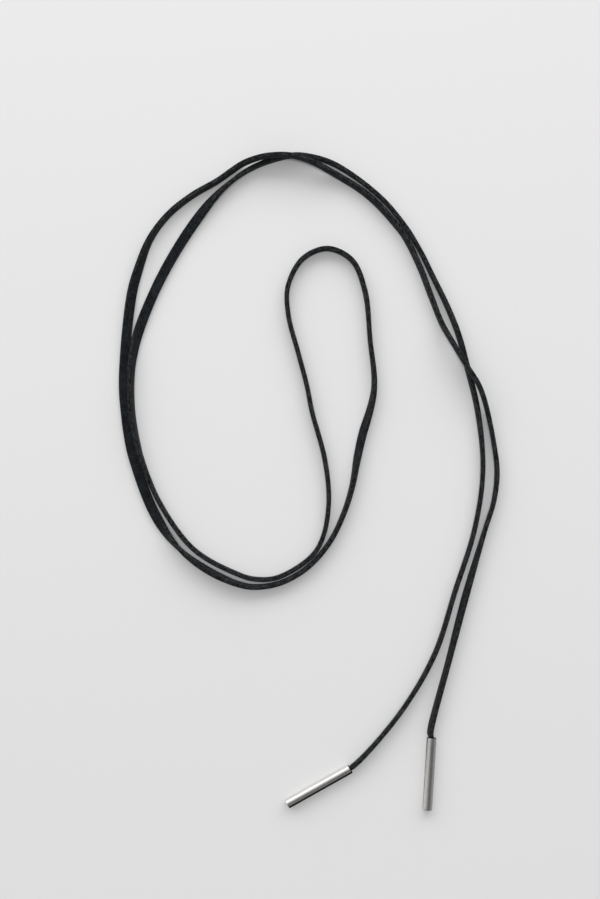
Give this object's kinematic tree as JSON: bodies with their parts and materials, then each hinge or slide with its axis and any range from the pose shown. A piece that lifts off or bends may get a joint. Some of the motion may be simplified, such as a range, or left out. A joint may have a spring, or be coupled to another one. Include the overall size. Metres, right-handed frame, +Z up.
{
  "type": "suede lace wrap choker",
  "caption": "Open-ended wrap choker: a long flat black suede lace, laid down in loose doubled loops, with a plain polished metal tube on each end.",
  "frame": {"origin": "middle of the footprint, on the surface it lies on", "axes": "+X to the right and +Y to the top of the layout as seen from above, +Z up from the surface"},
  "size_m": [0.127, 0.2191, 0.0068],
  "materials": {
    "black_suede": "soft matte nap, near black",
    "polished_metal": "polished, silver tone, with fine handling marks"
  },
  "bodies": {
    "root": {"suede_lace": "black_suede", "left_tube": "polished_metal", "right_tube": "polished_metal"}
  },
  "joints": []
}
